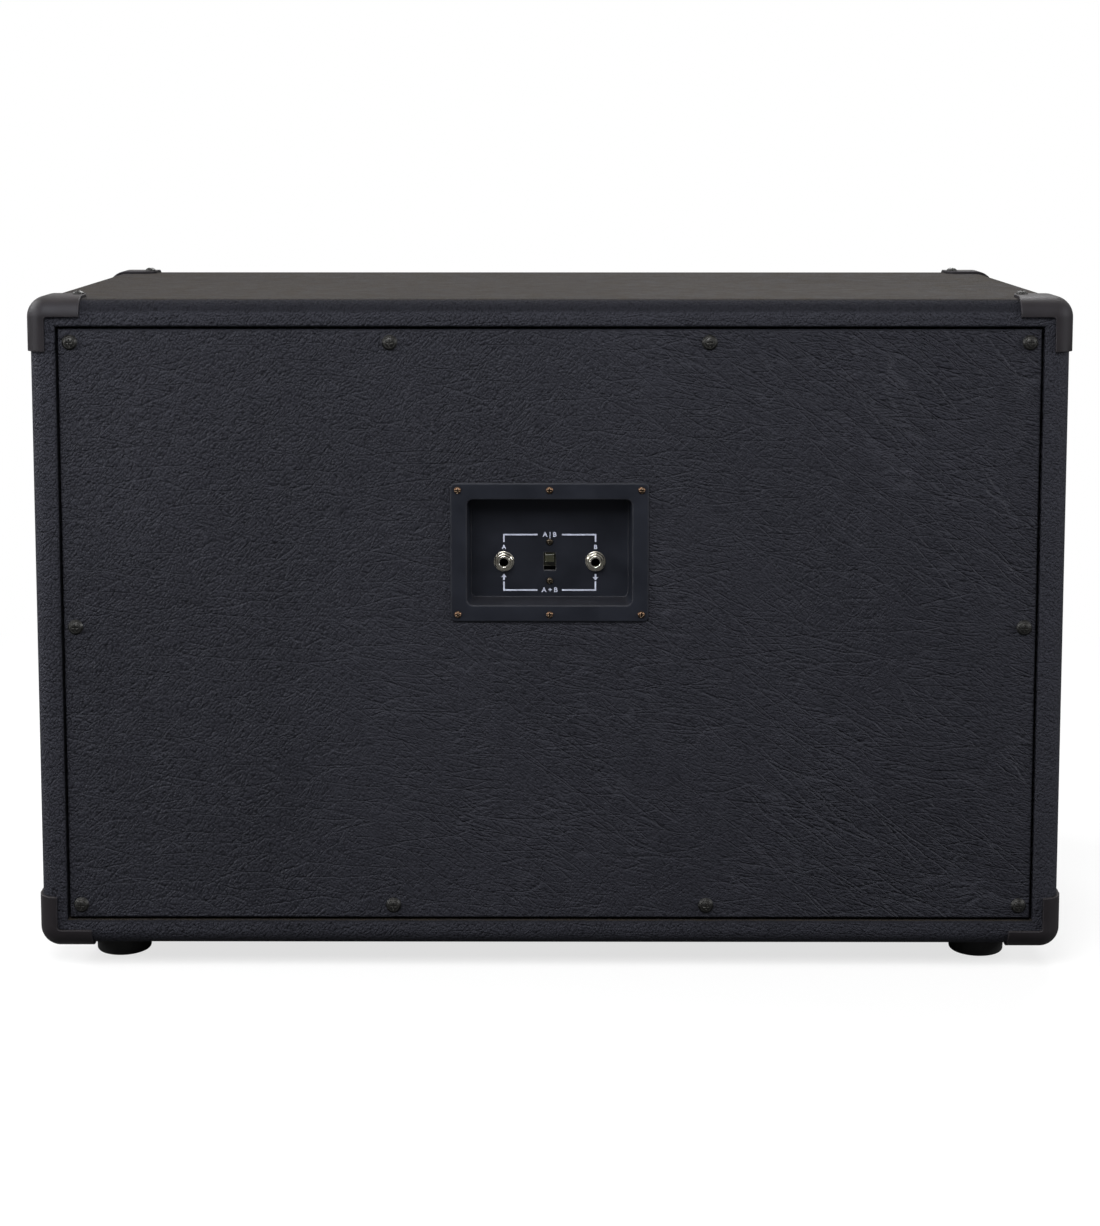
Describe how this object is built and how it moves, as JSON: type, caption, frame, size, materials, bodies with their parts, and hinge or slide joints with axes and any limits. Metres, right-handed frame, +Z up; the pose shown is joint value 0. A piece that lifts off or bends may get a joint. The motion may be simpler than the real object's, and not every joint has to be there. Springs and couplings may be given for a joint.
{
  "type": "guitar speaker cabinet",
  "caption": "Closed-back guitar speaker cabinet with grained black covering, moulded corners, side handles, cloth grille, and a recessed rear plate with jack sockets and a slide switch.",
  "frame": {"origin": "on the floor, under the middle of the cabinet", "axes": "+Z up, the grille faces -Y, the jack plate faces +Y, +X to the right as seen from the front"},
  "size_m": [0.7594, 0.3604, 0.5017],
  "materials": {
    "plywood": "bare birch plywood",
    "softwood": "bare softwood",
    "grained_covering": "black grained vinyl, satin",
    "black_plastic": "moulded black plastic, satin",
    "black_screws": "black oxide steel",
    "bronzed_screws": "dark bronzed steel",
    "zinc_steel": "zinc plated steel",
    "nickel": "nickel plated brass",
    "insulating_board": "brown laminate",
    "spring_brass": "spring brass",
    "grey_knob": "light grey, polished",
    "rubber": "matte",
    "grille_cloth": "black woven grille cloth",
    "hook_and_loop": "black pile",
    "painted_basket": "black enamel",
    "gasket_board": "pressed board",
    "ferrite": "dark sintered ferrite",
    "terminal_board": "brown board with tinned lugs",
    "cone_paper": "pressed pulp",
    "dust_cap_paper": "pressed pulp",
    "coil_former": "wound former",
    "surround_cloth": "doped cloth",
    "spider_cloth": "resin-dipped cloth",
    "wire_sleeve": "insulated wire"
  },
  "bodies": {
    "cabinet": {"top_panel": "plywood", "bottom_panel": "plywood", "left_side_panel": "plywood", "right_side_panel": "plywood", "baffle_board": "plywood", "rear_panel": "plywood", "baffle_cleats": "softwood", "rear_cleats": "softwood", "grille_frame": "softwood", "shell_covering": "grained_covering", "rear_panel_covering": "grained_covering", "bottom_front_left_corner": "black_plastic", "bottom_front_right_corner": "black_plastic", "top_front_left_corner": "black_plastic", "top_front_right_corner": "black_plastic", "bottom_rear_left_corner": "black_plastic", "bottom_rear_right_corner": "black_plastic", "top_rear_left_corner": "black_plastic", "top_rear_right_corner": "black_plastic", "left_handle": "black_plastic", "right_handle": "black_plastic", "jack_plate": "black_plastic", "switch_body": "black_plastic", "rear_panel_screws": "black_screws", "rear_panel_washers": "black_screws", "corner_screws": "black_screws", "handle_screws": "black_screws", "jack_plate_screws": "bronzed_screws", "foot_screws": "zinc_steel", "switch_screws": "zinc_steel", "speaker_bolts": "zinc_steel", "speaker_tee_nuts": "zinc_steel", "speaker_top_plates": "zinc_steel", "speaker_yokes": "zinc_steel", "jack_nuts": "nickel", "left_jack_body": "nickel", "right_jack_body": "nickel", "jack_insulators": "insulating_board", "switch_lugs": "spring_brass", "rubber_feet": "rubber", "grille_cloth": "grille_cloth", "grille_fasteners": "hook_and_loop", "speaker_baskets": "painted_basket", "speaker_gaskets": "gasket_board", "speaker_magnets": "ferrite", "speaker_terminals": "terminal_board", "left_surround": "surround_cloth", "right_surround": "surround_cloth", "left_spider": "spider_cloth", "right_spider": "spider_cloth", "speaker_wires": "wire_sleeve"},
    "switch_knob": {"switch_slider": "grey_knob"},
    "left_cone_body": {"left_cone": "cone_paper", "left_dust_cap": "dust_cap_paper", "left_voice_coil": "coil_former"},
    "right_cone_body": {"right_cone": "cone_paper", "right_dust_cap": "dust_cap_paper", "right_voice_coil": "coil_former"},
    "left_contact_body": {"left_jack_contact": "spring_brass"},
    "right_contact_body": {"right_jack_contact": "spring_brass"}
  },
  "joints": [
    {"name": "switch_slide", "type": "slide", "parent": "cabinet", "child": "switch_knob", "axis": [0, 0, 1], "range_m": [-0.006, 0]},
    {"name": "left_cone_travel", "type": "slide", "parent": "cabinet", "child": "left_cone_body", "axis": [0, 1, 0], "range_m": [-0.003, 0.003], "stiffness_N_per_m": 5000, "deforming": ["left_surround", "left_spider"]},
    {"name": "left_contact_flex", "type": "hinge", "parent": "cabinet", "child": "left_contact_body", "pos_m": [-0.0336, 0.1435, 0.3158], "axis": [-1, 0, 0], "range_deg": [0, 8], "stiffness_Nm_per_rad": 0.5},
    {"name": "right_cone_travel", "type": "slide", "parent": "cabinet", "child": "right_cone_body", "axis": [0, 1, 0], "range_m": [-0.003, 0.003], "stiffness_N_per_m": 5000, "deforming": ["right_surround", "right_spider"]},
    {"name": "right_contact_flex", "type": "hinge", "parent": "cabinet", "child": "right_contact_body", "pos_m": [0.0336, 0.1435, 0.3158], "axis": [-1, 0, 0], "range_deg": [0, 8], "stiffness_Nm_per_rad": 0.5}
  ]
}
